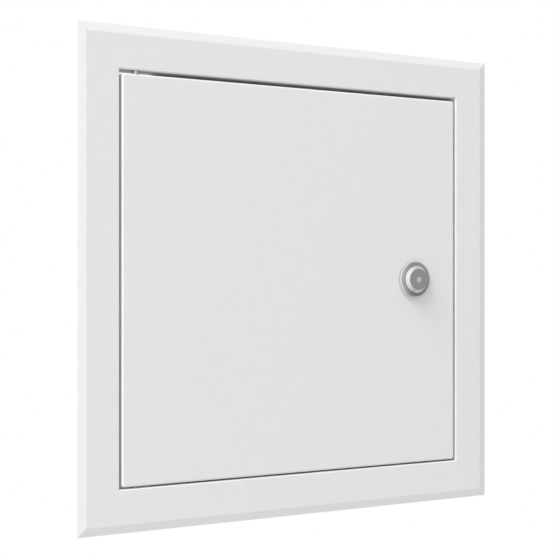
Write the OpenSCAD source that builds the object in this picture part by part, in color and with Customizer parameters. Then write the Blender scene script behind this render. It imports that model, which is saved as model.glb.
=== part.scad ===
// Wall and ceiling access panel: a mitred sheet-steel frame with a bevelled
// rim, a folded door that turns on two pivot pins, and a quarter-turn lock.
// Millimetres. X runs to the right, Y into the wall, Z up. The origin is the
// middle of the panel on the wall plane, and the door's face looks along -Y.

/* [Frame] */
// Outside width of the frame
frame_w = 366; // [266:1:600]
// Outside height of the frame
frame_h = 366; // [266:1:600]
// Width of the flange, from its outer edge to the opening
flange_w = 31.7; // [29:0.1:45]
// Width of the bevel along the outer edge
bevel_w = 6.2; // [3:0.1:8]
// How far the bevel falls from the face to the outer edge
bevel_drop = 1.2; // [0.8:0.1:2]
// Thickness of the frame's sheet
frame_t = 1; // [0.8:0.1:1.4]
// Inside radius of the folds in the frame's sheet
frame_bend_r = 0.1; // [0.1:0.1:0.9]
// How far the door stop reaches into the opening
stop_w = 12; // [10:0.5:16]
// Width of the hairline joint at a mitred corner
mitre_gap = 0.06; // [0.04:0.02:0.3]

/* [Frame fittings] */
// Width of each leg of a corner plate
plate_w = 15; // [10:0.5:16]
// Length of each leg of a corner plate
plate_len = 62; // [40:1:80]
// Distance of a corner plate from the frame's outer edge
plate_inset = 9; // [8.5:0.5:10]
// Width of a fixing strap
strap_w = 20; // [16:1:30]
// Thickness of a fixing strap
strap_t = 1.5; // [1:0.1:3]
// How far behind the wall plane a fixing strap starts
strap_start = 1.5; // [0.5:0.1:4]
// How far a fixing strap reaches behind the wall plane
strap_reach = 46; // [42:1:80]
// Distance between the upper and lower straps
strap_spacing = 180; // [120:5:200]
// Diameter of the screw holes in a strap
strap_hole_d = 5.2; // [4:0.1:6.5]
// Distance between the two screw holes of a strap
strap_hole_spacing = 14; // [10:0.5:16]
// Width of the foam seal on the stop
seal_w = 8; // [5:0.5:8]
// Thickness of the foam seal
seal_t = 2; // [1:0.1:4]
// Distance of the foam seal from the jamb
seal_inset = 3; // [0.5:0.1:4]

/* [Door] */
// Gap between the door and the frame at each side
side_gap = 1.85; // [1.2:0.05:2.5]
// Gap between the door and the frame at the top
top_gap = 2.85; // [1.5:0.05:3.2]
// Gap between the door and the frame at the bottom
bottom_gap = 1.3; // [0.8:0.1:2.5]
// Depth of the folded door, from face to back
door_depth = 15; // [12:0.5:18]
// Thickness of the door's sheet
door_t = 1; // [0.8:0.1:1.4]
// Inside radius of the folds in the door's sheet
door_bend_r = 0.5; // [0.1:0.1:0.5]
// Radius of the door's corners, seen from the front
door_corner_r = 2; // [2:0.1:4]
// Width of the lip folded in along the door's back edges
lip_w = 12; // [8:0.5:14]

/* [Hinge] */
// Distance of the pivot from the door's hinge edge
pivot_inset = 12.6; // [11:0.1:20]
// Depth of the pivot behind the door's face
pivot_depth = 4.5; // [4.4:0.1:5.5]
// Diameter of the pivot pins
pin_d = 5; // [4:0.1:5.2]
// Diameter of the window in the door's top edge, round the upper pin
pin_window_d = 8.2; // [7.4:0.1:8.4]
// Diameter of the lower pin's head
pin_head_d = 6.2; // [5.8:0.1:6.4]
// Height of the lower pin's head
pin_head_h = 1.8; // [1:0.1:3]
// How far the lower pin stands out of its bush
pin_tip_h = 1; // [0.8:0.1:3]
// How far the upper pin reaches past the frame's sheet
pin_reach = 3; // [2:0.5:5]
// Outside diameter of the hinge bushes
bush_d = 6.6; // [6.2:0.1:6.7]
// Outside diameter of a hinge bush's collar
bush_collar_d = 8; // [7.4:0.1:8.6]
// Height of the collar on the frame's hinge bush
bush_collar_h = 1.5; // [1:0.1:2.5]
// Length of the door's hinge bush, without its collar
bush_len = 6; // [4:0.5:10]
// Distance from the door's top to the bracket's lower arm
guide_drop = 36; // [30:1:50]
// Thickness of the guide bracket and of the lower hinge plate
bracket_t = 2; // [1.5:0.1:3]
// Radius of the bend at the foot of the upper pin
pin_bend_r = 5; // [4:0.5:8]
// How far the upper pin's handle reaches from the pivot
pin_handle = 24; // [16:1:40]
// Wire diameter of the pin's spring
spring_wire = 0.6; // [0.4:0.1:0.6]
// Number of turns in the pin's spring
spring_turns = 9; // [5:1:12]

/* [Lock] */
// Distance of the lock's middle from the door's lock edge
lock_inset = 41.75; // [36:0.05:60]
// Height of the lock's middle above the middle of the frame
lock_z = 0; // [-60:1:60]
// Diameter of the lock's collar
collar_d = 29.4; // [28:0.1:32]
// Height of the lock's collar at its well
collar_h = 3.7; // [3:0.1:6]
// How far the collar's front falls from the well to its bevel
collar_fall = 0.25; // [0.05:0.05:0.6]
// Width of the bevel round the collar's rim
collar_bevel = 0.7; // [0.4:0.1:1.2]
// Diameter of the lock's threaded barrel
barrel_d = 22; // [21:0.1:23]
// Width across the two flats of the barrel
barrel_flats = 20; // [19:0.1:20.6]
// Diameter of the turning plug inside the barrel
plug_d = 16; // [14:0.1:17]
// Diameter of the plug's head
plug_head_d = 21.8; // [19:0.1:22]
// How far the plug's head stands out of the collar
plug_head_h = 3.8; // [2:0.1:6]
// How much the plug's head tapers in towards its front, on each side
plug_taper = 2.2; // [0.4:0.1:3]
// Radius of the round edge on the front of the plug's head
plug_edge_r = 0.3; // [0.1:0.1:1]
// Width across the flats of the key socket
socket_af = 5; // [4:0.1:6]
// Depth of the key socket
socket_depth = 2.5; // [2:0.1:5]
// Width across the flats of the fixing nut
nut_af = 27; // [26:0.5:32]
// Thickness of the fixing nut
nut_t = 5; // [3:0.5:7]
// Width of the square that carries the cam
cam_square = 8; // [7:0.1:9]
// Width of the cam
cam_w = 18; // [16:0.5:20]
// Width of the cam's tip
cam_tip_w = 14; // [12:0.5:16]
// Thickness of the cam
cam_t = 2.5; // [2:0.1:4]
// How far the cam's tip laps behind the stop
cam_lap = 7.5; // [4:0.5:9]
// Diameter of the cam's screw
cam_screw_d = 5; // [4:0.1:5.5]

/* [Hidden] */
$fn = 64;

// Clearances: between turning or sliding pieces, and between fixed ones
run_gap = 0.05;
fit_gap = 0.03;
slide_gap = 0.1;
free_gap = 0.3;
// Long enough to cut right through any piece
through = 100;
// How far a cut runs past the surface that it opens
extra = 1;

// Frame planes, along Y
face_y = -(bevel_drop + frame_t);
door_back = face_y + door_depth;
stop_front = door_back + seal_t;
stop_back = stop_front + frame_t;
frame_fold_r = frame_t + frame_bend_r;
jamb_end = stop_back - frame_fold_r;

// Opening and door, along X and Z
open_w = frame_w - 2 * flange_w;
open_h = frame_h - 2 * flange_w;
door_w = open_w - 2 * side_gap;
door_h = open_h - top_gap - bottom_gap;
door_left = -door_w / 2;
door_right = door_w / 2;
door_top = open_h / 2 - top_gap;
door_bottom = -open_h / 2 + bottom_gap;
door_mid_z = (door_top + door_bottom) / 2;
jamb_outer_x = open_w / 2 + frame_t;
seal_x = open_w / 2 - seal_inset;
seal_z = open_h / 2 - seal_inset;

// Pivot line, and the room that the door's rear hinge corner needs to swing
pivot_x = door_left + pivot_inset;
pivot_y = face_y + pivot_depth;
rear_swing = norm([pivot_inset, door_depth - pivot_depth]);
swing_room = 1;
stop_start_x = pivot_x + rear_swing + swing_room;
pin_hole_d = pin_d + 2 * run_gap;
pin_chamfer = 0.8;

// Heights of the upper pin's pieces
arm_top = door_top - door_corner_r;
arm_bottom = door_top - guide_drop;
clip_t = 1;
clip_lip = 0.7;
clip_d = pin_d + 2 * clip_lip;
groove_depth = 0.5;
groove_d = pin_d - 2 * groove_depth;
clip_mouth = 0.7 * groove_d;
clip_top = arm_top - bracket_t - run_gap;
clip_bottom = clip_top - clip_t;
bend_room = 2;
bend_top = arm_bottom - bracket_t - bend_room;
pin_tip_z = open_h / 2 + frame_t + pin_reach;
spring_room = 0.2;
spring_r = pin_d / 2 + spring_wire / 2 + spring_room;
spring_sides = 6;
spring_steps = 16;

// Folds of the door, and its inside along Y
door_fold_r = door_t + door_bend_r;
bracket_y = face_y + door_fold_r;
bracket_depth = pivot_y + pin_d - bracket_y;

// Lock stations along the lock's own axis: 0 is the door's face, + is outwards
lock_x = door_right - lock_inset;
well_depth = 1.6;
collar_floor = collar_h - well_depth;
plug_seat = collar_floor + slide_gap;
plug_top = collar_h + plug_head_h;
head_gap = 0.2;
head_well_d = plug_head_d + 2 * head_gap;
head_rise = 1.2;
cam_room = 0.4;
tail_room = 0.2;
cam_front = -(stop_back - face_y) - cam_room;
cam_back = cam_front - cam_t;
barrel_end = cam_front + free_gap;
washer_t = 1;
washer_d = 13;
screw_head_af = 8;
screw_head_t = 3.5;
screw_len = 12;
cam_reach = open_w / 2 - stop_w + cam_lap - lock_x;
cam_tip_round = 3;

// Turn of a side about Y: each side is drawn as the bottom one
function side_turn(side) =
    side == "hinge" ? 90 : side == "top" ? 180 : side == "lock" ? -90 : 0;

// A quarter of a folded sheet, with its outer corner at the origin
module fold(r, t) {
    intersection() {
        translate([r, r]) difference() {
            circle(r);
            circle(r - t);
        }
        square([r, r]);
    }
}

// Draws a side's section, inwards along X and back along Y, as a straight strip
// of that length: it lies along X, with inwards upwards
module strip(length) {
    rotate([0, -90, 0]) linear_extrude(length, center = true) children();
}

// Keeps what lies between two 45 degree cuts that start at the ends of a strip
module mitred(length, width) {
    intersection() {
        children();
        rotate([90, 0, 0]) linear_extrude(through, center = true)
            polygon([[-length / 2, 0], [length / 2, 0],
                     [length / 2 - width, width], [-length / 2 + width, width]]);
    }
}

// Puts what was drawn as the bottom side in its place, half the size from the middle
module at_side(side, half) {
    rotate([0, side_turn(side), 0]) translate([0, 0, -half]) children();
}

// Section of a frame side without its stop: bevel, face, fold and jamb
module jamb_section() {
    polygon([[0, 0], [0, -frame_t], [bevel_w, face_y], [bevel_w, face_y + frame_t]]);
    translate([bevel_w, face_y]) square([flange_w - frame_fold_r - bevel_w, frame_t]);
    translate([flange_w, face_y]) mirror([1, 0]) fold(frame_fold_r, frame_t);
    translate([flange_w - frame_t, face_y + frame_fold_r])
        square([frame_t, jamb_end - face_y - frame_fold_r]);
}

// The stop that is folded in from the back of a jamb
module stop_section() {
    translate([flange_w - frame_t, stop_back]) mirror([0, 1]) fold(frame_fold_r, frame_t);
    translate([flange_w - frame_t + frame_fold_r, stop_front])
        square([stop_w + frame_t - frame_fold_r, frame_t]);
}

// A mitred frame side, cut back by half of the joint at each end
module frame_member(side, length, half, with_stop) {
    cut = length - mitre_gap * sqrt(2);
    at_side(side, half) mitred(cut, flange_w + stop_w + extra) strip(length) {
        jamb_section();
        if (with_stop) stop_section();
    }
}

// The piece of stop that is left out beside the hinge, where the door's rear
// corner swings back
module stop_notch(side) {
    notch_w = stop_start_x + frame_w / 2;
    translate([-frame_w / 2, jamb_end, side * open_h / 2 - through / 2])
        cube([notch_w, through, through]);
}

module frame_top_rail() {
    color("white") difference() {
        frame_member("top", frame_w, frame_h / 2, true);
        stop_notch(1);
        translate([pivot_x, pivot_y, open_h / 2 - frame_t])
            cylinder(d = bush_d + 2 * fit_gap, h = 3 * frame_t);
    }
}

module frame_bottom_rail() {
    color("white") difference() {
        frame_member("bottom", frame_w, frame_h / 2, true);
        stop_notch(-1);
        translate([pivot_x, pivot_y, -open_h / 2 - 2 * frame_t])
            cylinder(d = pin_d + 2 * fit_gap, h = 3 * frame_t);
    }
}

module frame_hinge_stile() {
    color("white") frame_member("hinge", frame_h, frame_w / 2, false);
}

module frame_lock_stile() {
    color("white") frame_member("lock", frame_h, frame_w / 2, true);
}

// An L-shaped plate in the hollow behind the face, across one mitred corner
module corner_plate(side_x, side_z) {
    color("gainsboro")
    mirror([side_x > 0 ? 1 : 0, 0, 0]) mirror([0, 0, side_z > 0 ? 1 : 0])
    translate([-frame_w / 2 + plate_inset, 0, -frame_h / 2 + plate_inset])
    rotate([90, 0, 0]) linear_extrude(bevel_drop) {
        square([plate_len, plate_w]);
        square([plate_w, plate_len]);
    }
}

// A flat strap on the outside of a jamb, with a round end and two screw holes
module fixing_strap(side_x, side_z) {
    end_y = strap_reach - strap_w / 2;
    color("silver")
    translate([side_x * (jamb_outer_x + strap_t / 2), 0, side_z * strap_spacing / 2])
    rotate([0, 90, 0]) difference() {
        union() {
            translate([-strap_w / 2, strap_start, -strap_t / 2])
                cube([strap_w, end_y - strap_start, strap_t]);
            translate([0, end_y, 0]) cylinder(d = strap_w, h = strap_t, center = true);
        }
        for (k = [0, 1])
            translate([0, end_y - k * strap_hole_spacing, 0])
                cylinder(d = strap_hole_d, h = 2 * strap_t, center = true);
    }
}

// A strip of foam on the front of a rail's stop
module seal_rail(side) {
    low_z = side > 0 ? seal_z - seal_w : -seal_z;
    color("dimgray") translate([stop_start_x, door_back, low_z])
        cube([seal_x - stop_start_x, seal_t, seal_w]);
}

// The strip on the lock stile's stop, between the two on the rails
module seal_lock_side() {
    half = seal_z - seal_w;
    color("dimgray") translate([seal_x - seal_w, door_back, -half])
        cube([seal_w, seal_t, 2 * half]);
}

// A round bush with a collar at its foot, standing on the origin
module bush(collar_h, length) {
    difference() {
        union() {
            cylinder(d = bush_collar_d, h = collar_h);
            cylinder(d = bush_d, h = collar_h + length);
        }
        translate([0, 0, -extra]) cylinder(d = pin_hole_d, h = collar_h + length + 2 * extra);
    }
}

// The frame's bush: its collar has a flat that clears the back of the flange
module upper_hinge_bush() {
    flat_y = pivot_depth - frame_t - free_gap;
    bore_len = frame_t + bush_collar_h + pin_reach;
    color("whitesmoke") translate([pivot_x, pivot_y, open_h / 2]) difference() {
        union() {
            cylinder(d = bush_d, h = bore_len);
            translate([0, 0, frame_t]) intersection() {
                cylinder(d = bush_collar_d, h = bush_collar_h);
                translate([-bush_collar_d / 2, -flat_y, 0])
                    cube([bush_collar_d, bush_collar_d, bush_collar_h]);
            }
        }
        translate([0, 0, -extra]) cylinder(d = pin_hole_d, h = bore_len + 2 * extra);
    }
}

module lower_hinge_bush() {
    color("whitesmoke") translate([pivot_x, pivot_y, -open_h / 2])
        bush(bottom_gap, bush_len);
}

// The fixed pin: a head below the frame's sheet and a chamfered tip
module lower_hinge_pin() {
    shank = frame_t + bottom_gap + bush_len + pin_tip_h;
    color("silver") translate([pivot_x, pivot_y, -open_h / 2 - frame_t]) {
        translate([0, 0, -pin_head_h]) cylinder(d = pin_head_d, h = pin_head_h);
        cylinder(d = pin_d, h = shank - pin_chamfer);
        translate([0, 0, shank - pin_chamfer])
            cylinder(d1 = pin_d, d2 = pin_d - 2 * pin_chamfer, h = pin_chamfer);
    }
}

// Section of the door's edge without its lip: fold and return
module door_edge_section() {
    fold(door_fold_r, door_t);
    translate([0, door_fold_r]) square([door_t, door_depth - 2 * door_fold_r]);
    translate([door_fold_r, 0]) square([door_corner_r - door_fold_r, door_t]);
}

// The lip that is folded in from the back of a return
module door_lip_section() {
    translate([0, door_depth]) mirror([0, 1]) fold(door_fold_r, door_t);
    translate([door_fold_r, door_depth - door_t]) square([lip_w - door_fold_r, door_t]);
}

// One side of the door: a straight edge and its mitred lip
module door_side(side, length, half) {
    straight = length - 2 * door_corner_r;
    at_side(side, half) {
        strip(straight) door_edge_section();
        mitred(straight, lip_w + extra) strip(straight) door_lip_section();
    }
}

// One rounded corner of the door, turned about its own centre
module door_corner() {
    rotate([90, 0, 0]) mirror([0, 0, 1]) rotate_extrude(angle = 90)
        translate([door_corner_r, 0]) mirror([1, 0]) door_edge_section();
}

// The folded sheet, before it is drilled, with its face on the XZ plane
module door_blank() {
    flat_w = door_w - 2 * door_corner_r;
    flat_h = door_h - 2 * door_corner_r;
    translate([-flat_w / 2, 0, -flat_h / 2]) cube([flat_w, door_t, flat_h]);
    for (side = ["bottom", "top"]) door_side(side, door_w, door_h / 2);
    for (side = ["hinge", "lock"]) door_side(side, door_h, door_w / 2);
    for (sx = [-1, 1], sz = [-1, 1])
        translate([sx * flat_w / 2, 0, sz * flat_h / 2])
            mirror([sx < 0 ? 1 : 0, 0, 0]) mirror([0, 0, sz < 0 ? 1 : 0]) door_corner();
}

// The barrel's outline: a circle with two flats, grown by that clearance
module barrel_outline(gap) {
    intersection() {
        circle(d = barrel_d + 2 * gap);
        square([barrel_flats + 2 * gap, barrel_d + 2 * (gap + extra)], center = true);
    }
}

module door_leaf() {
    color("white") difference() {
        translate([0, face_y, door_mid_z]) door_blank();
        on_lock() translate([0, 0, -2 * door_t]) linear_extrude(3 * door_t)
            barrel_outline(fit_gap);
        translate([pivot_x, pivot_y, door_top - 2 * door_t])
            cylinder(d = pin_window_d, h = 3 * door_t);
        translate([pivot_x, pivot_y, door_bottom - door_t])
            cylinder(d = bush_d + 2 * fit_gap, h = 3 * door_t);
    }
}

// A channel on the inside of the hinge return, whose two arms guide the upper pin
module pin_guide_bracket() {
    web_x = door_left + door_t;
    arm_len = pivot_x - web_x + pin_d;
    color("silver") difference() {
        translate([web_x, bracket_y, arm_bottom - bracket_t]) {
            cube([bracket_t, bracket_depth, arm_top - arm_bottom + bracket_t]);
            cube([arm_len, bracket_depth, bracket_t]);
            translate([0, 0, arm_top - arm_bottom]) cube([arm_len, bracket_depth, bracket_t]);
        }
        translate([pivot_x, pivot_y, arm_bottom - 2 * bracket_t])
            cylinder(d = pin_d + 2 * slide_gap, h = guide_drop + 3 * bracket_t);
    }
}

// A thicker seat for the lower bush, inside the door's bottom return
module lower_hinge_plate() {
    half_len = pivot_inset - door_corner_r;
    color("silver") translate([pivot_x, bracket_y, door_bottom + door_t]) difference() {
        translate([-half_len, 0, 0]) cube([2 * half_len, bracket_depth, bracket_t]);
        translate([0, pivot_y - bracket_y, -extra])
            cylinder(d = bush_d + 2 * fit_gap, h = bracket_t + 2 * extra);
    }
}

// The upper pin: a rod with a chamfered tip, bent at its foot into a handle
module upper_hinge_pin() {
    handle_z = bend_top - pin_bend_r;
    color("silver") translate([pivot_x, pivot_y, 0]) {
        difference() {
            translate([0, 0, bend_top]) cylinder(d = pin_d, h = pin_tip_z - pin_chamfer - bend_top);
            translate([0, 0, clip_bottom - fit_gap]) difference() {
                cylinder(d = clip_d, h = clip_t + 2 * fit_gap);
                cylinder(d = groove_d, h = clip_t + 2 * fit_gap);
            }
        }
        translate([0, 0, pin_tip_z - pin_chamfer])
            cylinder(d1 = pin_d, d2 = pin_d - 2 * pin_chamfer, h = pin_chamfer);
        translate([pin_bend_r, 0, bend_top]) rotate([90, 0, 0]) rotate([0, 0, 180])
            rotate_extrude(angle = 90) translate([pin_bend_r, 0]) circle(d = pin_d);
        translate([pin_bend_r, 0, handle_z]) rotate([0, 90, 0])
            cylinder(d = pin_d, h = pin_handle - pin_bend_r);
    }
}

// A snap ring in the pin's groove, open at its back
module pin_clip() {
    cut = clip_t + 2 * extra;
    color("dimgray") translate([pivot_x, pivot_y, clip_bottom]) difference() {
        cylinder(d = clip_d, h = clip_t);
        translate([0, 0, -extra]) cylinder(d = groove_d + 2 * fit_gap, h = cut);
        translate([-clip_mouth / 2, 0, -extra]) cube([clip_mouth, clip_d, cut]);
    }
}

// Corner k of the spring wire's ring number i, along a helix of that rise
function spring_point(i, k, rise) =
    let (turn = 360 * i / spring_steps,
         side = 360 * k / spring_sides,
         r = spring_r + spring_wire / 2 * cos(side))
    [r * cos(turn), r * sin(turn), rise * i / spring_steps + spring_wire / 2 * sin(side)];

module pin_spring() {
    length = clip_bottom - arm_bottom - spring_wire - 2 * run_gap;
    rise = length / spring_turns;
    rings = spring_turns * spring_steps;
    points = [for (i = [0 : rings], k = [0 : spring_sides - 1]) spring_point(i, k, rise)];
    walls = [for (i = [0 : rings - 1], k = [0 : spring_sides - 1])
        let (a = i * spring_sides + k, b = i * spring_sides + (k + 1) % spring_sides)
        [a, a + spring_sides, b + spring_sides, b]];
    first_end = [for (k = [0 : spring_sides - 1]) k];
    last_end = [for (k = [spring_sides - 1 : -1 : 0]) rings * spring_sides + k];
    color("gray") translate([pivot_x, pivot_y, arm_bottom + spring_wire / 2 + run_gap])
        polyhedron(points, concat(walls, [first_end, last_end]));
}

// Puts a piece on the lock's axis: its Z runs out of the door's face
module on_lock() {
    translate([lock_x, face_y, lock_z]) rotate([90, 0, 0]) children();
}

// Collar and barrel in one: a front that falls to a bevelled rim, and a well for the head
module lock_housing() {
    rim_r = collar_d / 2;
    rim_h = collar_h - collar_fall;
    color("silver") on_lock() difference() {
        union() {
            rotate_extrude() polygon([
                [0, 0], [rim_r, 0], [rim_r, rim_h - collar_bevel],
                [rim_r - collar_bevel, rim_h], [head_well_d / 2, collar_h], [0, collar_h]]);
            translate([0, 0, barrel_end]) linear_extrude(-barrel_end) barrel_outline(0);
        }
        translate([0, 0, barrel_end - extra]) cylinder(d = plug_d + 2 * run_gap, h = through);
        translate([0, 0, collar_floor]) cylinder(d = head_well_d, h = through);
    }
}

// A hexagonal prism of that width across its flats
module hexagon(across, height) {
    cylinder(d = across / cos(30), h = height, $fn = 6);
}

// The same prism with its corners turned off at a slope of 30 degrees round its foot
module turned_hexagon(across, height) {
    foot_r = 0.48 * across;
    blank_r = 0.6 * across;
    rise = (blank_r - foot_r) * tan(30);
    intersection() {
        hexagon(across, height);
        rotate_extrude() polygon([
            [0, -extra], [foot_r - extra / tan(30), -extra], [blank_r, rise],
            [blank_r, height + rise], [0, height + rise]]);
    }
}

module lock_nut() {
    color("silver") on_lock() translate([0, 0, -door_t - nut_t]) difference() {
        turned_hexagon(nut_af, nut_t);
        translate([0, 0, -extra]) cylinder(d = barrel_d + 2 * fit_gap, h = nut_t + 2 * extra);
    }
}

// Half of the plug's section: a shank, and a tapered head with a round front edge,
// whose arc runs from the taper's slope to the flat front
module plug_section() {
    head_r = plug_head_d / 2;
    taper_z = collar_h + head_rise;
    slope = atan(plug_taper / (plug_top - taper_z));
    flat_r = head_r - plug_taper - plug_edge_r * tan((90 - slope) / 2);
    edge_z = plug_top - plug_edge_r;
    out = [cos(slope), sin(slope)];
    translate([0, cam_front]) square([plug_d / 2, plug_seat - cam_front]);
    polygon([
        [0, plug_seat], [head_r, plug_seat], [head_r, taper_z],
        [flat_r, edge_z] + plug_edge_r * out, [flat_r, edge_z], [flat_r, plug_top], [0, plug_top]]);
    translate([flat_r, edge_z]) intersection() {
        circle(plug_edge_r);
        polygon([[0, 0], 2 * plug_edge_r * out, [0, 2 * plug_edge_r]]);
    }
}

// The turning plug: a tapered head with a hexagonal key socket that stands on its
// corner, a shank and a square tail
module lock_plug() {
    tail_end = cam_back + tail_room;
    color("silver") on_lock() difference() {
        union() {
            rotate_extrude() plug_section();
            translate([-cam_square / 2, -cam_square / 2, tail_end])
                cube([cam_square, cam_square, cam_front - tail_end]);
        }
        translate([0, 0, plug_top - socket_depth]) rotate([0, 0, 30]) hexagon(socket_af, through);
        translate([0, 0, tail_end - extra])
            cylinder(d = cam_screw_d + 2 * fit_gap, h = screw_len + 2 * extra);
    }
}

// The cam, at rest pointing up and clear of the frame
module lock_cam() {
    tip_x = cam_tip_w / 2 - cam_tip_round;
    tip_y = cam_reach - cam_tip_round;
    hole = cam_square + 2 * fit_gap;
    color("silver") on_lock() translate([0, 0, cam_back]) linear_extrude(cam_t) difference() {
        union() {
            circle(d = cam_w);
            polygon([[-cam_w / 2, 0], [cam_w / 2, 0], [cam_tip_w / 2, tip_y], [-cam_tip_w / 2, tip_y]]);
            translate([-tip_x, tip_y - extra]) square([2 * tip_x, cam_tip_round + extra]);
            for (side = [-1, 1]) translate([side * tip_x, tip_y]) circle(cam_tip_round);
        }
        square(hole, center = true);
    }
}

module cam_washer() {
    color("silver") on_lock() translate([0, 0, cam_back - washer_t]) difference() {
        cylinder(d = washer_d, h = washer_t);
        translate([0, 0, -extra])
            cylinder(d = cam_screw_d + 2 * free_gap, h = washer_t + 2 * extra);
    }
}

module cam_screw() {
    color("silver") on_lock() translate([0, 0, cam_back - washer_t]) {
        translate([0, 0, -screw_head_t]) turned_hexagon(screw_head_af, screw_head_t);
        cylinder(d = cam_screw_d, h = washer_t + screw_len);
    }
}

frame_top_rail();
frame_bottom_rail();
frame_hinge_stile();
frame_lock_stile();
corner_plate(-1, 1);  // corner_plate_top_left
corner_plate(1, 1);  // corner_plate_top_right
corner_plate(-1, -1);  // corner_plate_bottom_left
corner_plate(1, -1);  // corner_plate_bottom_right
fixing_strap(-1, 1);  // fixing_strap_upper_left
fixing_strap(-1, -1);  // fixing_strap_lower_left
fixing_strap(1, 1);  // fixing_strap_upper_right
fixing_strap(1, -1);  // fixing_strap_lower_right
seal_rail(1);  // seal_top
seal_rail(-1);  // seal_bottom
seal_lock_side();
upper_hinge_bush();
lower_hinge_pin();
door_leaf();
pin_guide_bracket();
lower_hinge_plate();
lower_hinge_bush();
upper_hinge_pin();
pin_clip();
pin_spring();
lock_housing();
lock_nut();
lock_plug();
lock_cam();
cam_washer();
cam_screw();
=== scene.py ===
"""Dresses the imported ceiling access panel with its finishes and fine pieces, in a plain studio."""

import math

import bpy
from bpy.props import FloatProperty, FloatVectorProperty, PointerProperty
from bpy.types import Operator, Panel, PropertyGroup
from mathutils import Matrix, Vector


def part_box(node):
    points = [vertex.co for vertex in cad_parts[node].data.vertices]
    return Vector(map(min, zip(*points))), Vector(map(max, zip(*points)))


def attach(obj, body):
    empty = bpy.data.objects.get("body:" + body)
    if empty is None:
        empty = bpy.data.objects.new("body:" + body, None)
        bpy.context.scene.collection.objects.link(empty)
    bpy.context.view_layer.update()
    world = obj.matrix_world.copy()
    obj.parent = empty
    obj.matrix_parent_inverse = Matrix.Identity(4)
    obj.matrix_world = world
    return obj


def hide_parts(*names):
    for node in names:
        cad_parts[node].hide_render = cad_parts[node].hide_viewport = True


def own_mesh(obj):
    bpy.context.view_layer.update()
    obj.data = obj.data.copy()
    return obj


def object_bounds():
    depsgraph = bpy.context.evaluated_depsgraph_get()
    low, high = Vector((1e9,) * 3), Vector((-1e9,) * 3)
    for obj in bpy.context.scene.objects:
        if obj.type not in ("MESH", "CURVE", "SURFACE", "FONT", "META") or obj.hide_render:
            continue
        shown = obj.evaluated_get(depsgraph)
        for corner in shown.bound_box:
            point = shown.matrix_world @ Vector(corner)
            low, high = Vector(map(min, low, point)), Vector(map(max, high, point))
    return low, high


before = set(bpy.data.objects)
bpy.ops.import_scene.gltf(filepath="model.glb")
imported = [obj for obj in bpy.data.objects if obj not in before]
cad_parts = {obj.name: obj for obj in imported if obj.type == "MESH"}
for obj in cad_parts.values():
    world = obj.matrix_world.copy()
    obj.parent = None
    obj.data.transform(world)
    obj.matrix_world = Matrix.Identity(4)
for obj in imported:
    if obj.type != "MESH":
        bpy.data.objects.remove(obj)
CAD_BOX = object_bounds()

bl_info = {
    "name": "Ceiling access panel",
    "version": (1, 0, 0),
    "blender": (4, 5, 0),
    "location": "3D View > Sidebar > Access Panel",
    "description": "Finishes, fine pieces and studio for a ceiling access panel",
    "category": "Object",
}

MM = 0.001

# Thickness of the guide bracket's sheet, and how deep a hidden edge is sunk in what carries it
BRACKET_SHEET = 2.0 * MM
SUNK = 0.02 * MM

# How finely the swept pieces are made: steps in a turn, and sides of a round section
SPRING_STEPS = 40
THREAD_STEPS = 96
WIRE_SIDES = 10
FOAM_EDGE_STEPS = 5

# The shape of a spot weld: sides of its rim and of the rim's section, then the button's
# top and foot as shares of the weld's radius, and its height as a share of the rim
WELD_SIDES = 16
RIM_SIDES = 4
BUTTON_TOP, BUTTON_FOOT, BUTTON_HEIGHT = 0.35, 0.8, 0.4

# Welds on a corner plate's leg, and where the first one lies after the elbow, in spacings
LEG_WELDS = 3
FIRST_WELD = 0.6

# Places of the welds on the hinge brackets, as shares of the bracket's length
GUIDE_WELDS = (0.27, 0.73)
HINGE_PLATE_WELDS = (0.13, 0.87)

# Sides of the round floor, the share of its radius where it starts to fade, and how far
# the dark card reaches along the line of sight
FLOOR_SIDES = 96
FLOOR_FADE = 0.35
CARD_DEPTH = 1.7

# The nodes that share a finish
PAINTED_NODES = (
    "frame_top_rail", "frame_bottom_rail", "frame_hinge_stile", "frame_lock_stile", "door_leaf",
)
CHROME_NODES = ("lock_housing", "lock_plug")
CORNER_PLATES = tuple(
    f"corner_plate_{row}_{side}" for row in ("top", "bottom") for side in ("left", "right")
)
FIXING_STRAPS = tuple(
    f"fixing_strap_{row}_{side}" for row in ("upper", "lower") for side in ("left", "right")
)
SHEET_ZINC_NODES = CORNER_PLATES + FIXING_STRAPS + ("pin_guide_bracket", "lower_hinge_plate")
TURNED_ZINC_NODES = (
    "upper_hinge_pin", "lower_hinge_pin", "pin_clip",
    "lock_nut", "lock_cam", "cam_washer", "cam_screw",
)
NYLON_NODES = ("upper_hinge_bush", "lower_hinge_bush")
SEAL_NODES = ("seal_top", "seal_bottom", "seal_lock_side")

# Axes that the round pieces share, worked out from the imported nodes
LOCK_AXIS = (Vector(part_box("lock_plug")[0]) + Vector(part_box("lock_plug")[1])) / 2
PIVOT_AXIS = (Vector(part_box("pin_spring")[0]) + Vector(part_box("pin_spring")[1])) / 2


class PaintSettings(PropertyGroup):
    """The powder coat on the frame and the door."""

    white: FloatVectorProperty(
        name="White", description="Colour of the coat", subtype="COLOR", size=3,
        min=0.0, max=1.0, default=(0.83, 0.83, 0.83))
    roughness: FloatProperty(
        name="Roughness", description="Mean roughness of the coat", subtype="FACTOR",
        min=0.0, max=1.0, default=0.42)
    ripple_size: FloatProperty(
        name="Ripple size", description="Width of the ripples that the coat cures with",
        unit="LENGTH", min=0.0, default=1.3 * MM)
    ripple_height: FloatProperty(
        name="Ripple height", description="Height of those ripples", unit="LENGTH",
        min=0.0, default=0.012 * MM)


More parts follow.
